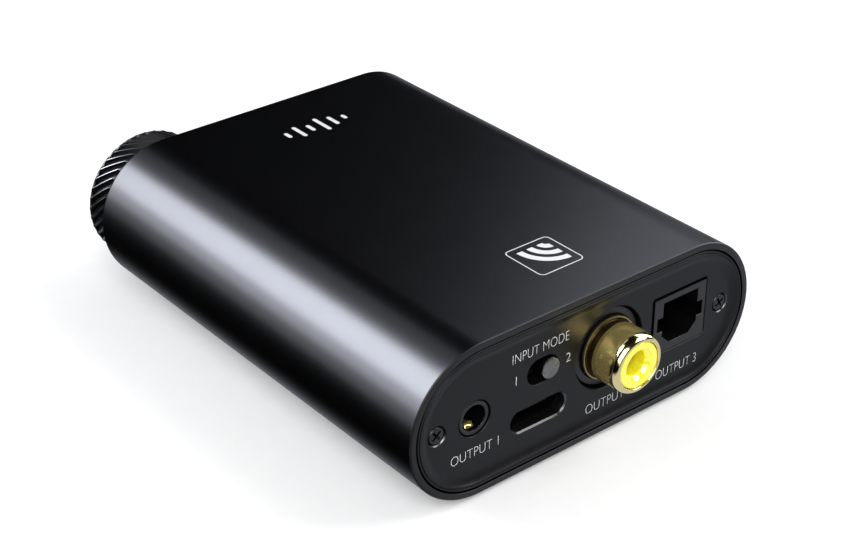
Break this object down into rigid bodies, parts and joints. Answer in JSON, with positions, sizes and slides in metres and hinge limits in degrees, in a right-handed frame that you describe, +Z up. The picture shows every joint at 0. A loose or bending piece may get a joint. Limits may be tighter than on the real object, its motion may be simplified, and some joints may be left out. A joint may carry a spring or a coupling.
{
  "type": "desktop dac",
  "caption": "Compact desktop digital-to-analogue converter and headphone amplifier: black extruded shell, ridged volume knob at the front, line, data, coaxial and optical sockets behind.",
  "frame": {"origin": "middle of the whole object's footprint, on the surface that its feet stand on", "axes": "+X to the right as seen from the front, +Y from the knob end to the socket end, +Z up"},
  "size_m": [0.058, 0.082, 0.0228],
  "materials": {
    "anodised_shell": "black satin anodised, bead blasted",
    "anodised_panel": "black matt anodised",
    "anodised_knob": "black satin anodised, machined ridges",
    "black_screw": "black oxide",
    "rubber_foot": "matt",
    "connector_plastic": "moulded, slightly satin",
    "gold_plate": "polished gold plate",
    "yellow_insulator": "glossy moulded",
    "nickel_steel": "nickel plated",
    "slider_metal": "turned end face",
    "circuit_board": "solder mask",
    "chip_package": "matt moulded",
    "oscillator_can": "satin",
    "capacitor_sleeve": "shrink sleeve",
    "ferrite": "matt ferrite",
    "light_diffuser": "frosted, translucent",
    "clear_lens": "clear",
    "printed_marks": "white printed ink"
  },
  "bodies": {
    "housing": {"balanced_contact": "gold_plate", "balanced_jack": "connector_plastic", "balanced_ring": "gold_plate", "bass_switch_case": "connector_plastic", "clock_oscillator_1": "oscillator_can", "clock_oscillator_2": "oscillator_can", "coax_barrel": "gold_plate", "coax_centre_contact": "gold_plate", "coax_housing": "connector_plastic", "coax_insulator": "yellow_insulator", "coax_washer": "connector_plastic", "converter_chip": "chip_package", "filter_capacitor_1": "capacitor_sleeve", "filter_capacitor_2": "capacitor_sleeve", "filter_capacitor_3": "capacitor_sleeve", "filter_capacitor_4": "capacitor_sleeve", "foot_front_left": "rubber_foot", "foot_front_right": "rubber_foot", "foot_rear_left": "rubber_foot", "foot_rear_right": "rubber_foot", "front_panel": "anodised_panel", "front_screw": "black_screw", "gain_switch_case": "connector_plastic", "headphone_amp_chip_1": "chip_package", "headphone_amp_chip_2": "chip_package", "headphone_contact": "gold_plate", "headphone_jack": "connector_plastic", "headphone_ring": "gold_plate", "light_ring": "light_diffuser", "line_out_contact": "gold_plate", "line_out_jack": "connector_plastic", "main_board": "circuit_board", "mode_switch_case": "connector_plastic", "mute_relay": "connector_plastic", "optical_emitter": "clear_lens", "optical_housing": "connector_plastic", "power_inductor_1": "ferrite", "power_inductor_2": "ferrite", "rear_panel": "anodised_panel", "rear_screw_left": "black_screw", "rear_screw_right": "black_screw", "regulator_chip": "chip_package", "ring_light_board": "circuit_board", "shell": "anodised_shell", "usb_receiver_chip": "chip_package", "usb_socket_shell": "nickel_steel", "usb_socket_tongue": "connector_plastic", "volume_nut": "nickel_steel", "volume_pot": "nickel_steel"},
    "volume_knob": {"volume_knob": "anodised_knob", "volume_shaft": "nickel_steel"},
    "mode_slider": {"mode_slider": "slider_metal"},
    "gain_slider": {"gain_slider": "slider_metal"},
    "bass_slider": {"bass_slider": "slider_metal"}
  },
  "joints": [
    {"name": "volume_turn", "type": "hinge", "parent": "housing", "child": "volume_knob", "pos_m": [0.018, -0.036, 0.0118], "axis": [0, 1, 0], "range_deg": [0, 300]},
    {"name": "mode_slide", "type": "slide", "parent": "housing", "child": "mode_slider", "axis": [1, 0, 0], "range_m": [0, 0.002]},
    {"name": "gain_slide", "type": "slide", "parent": "housing", "child": "gain_slider", "axis": [1, 0, 0], "range_m": [0, 0.002]},
    {"name": "bass_slide", "type": "slide", "parent": "housing", "child": "bass_slider", "axis": [1, 0, 0], "range_m": [0, 0.002]}
  ]
}
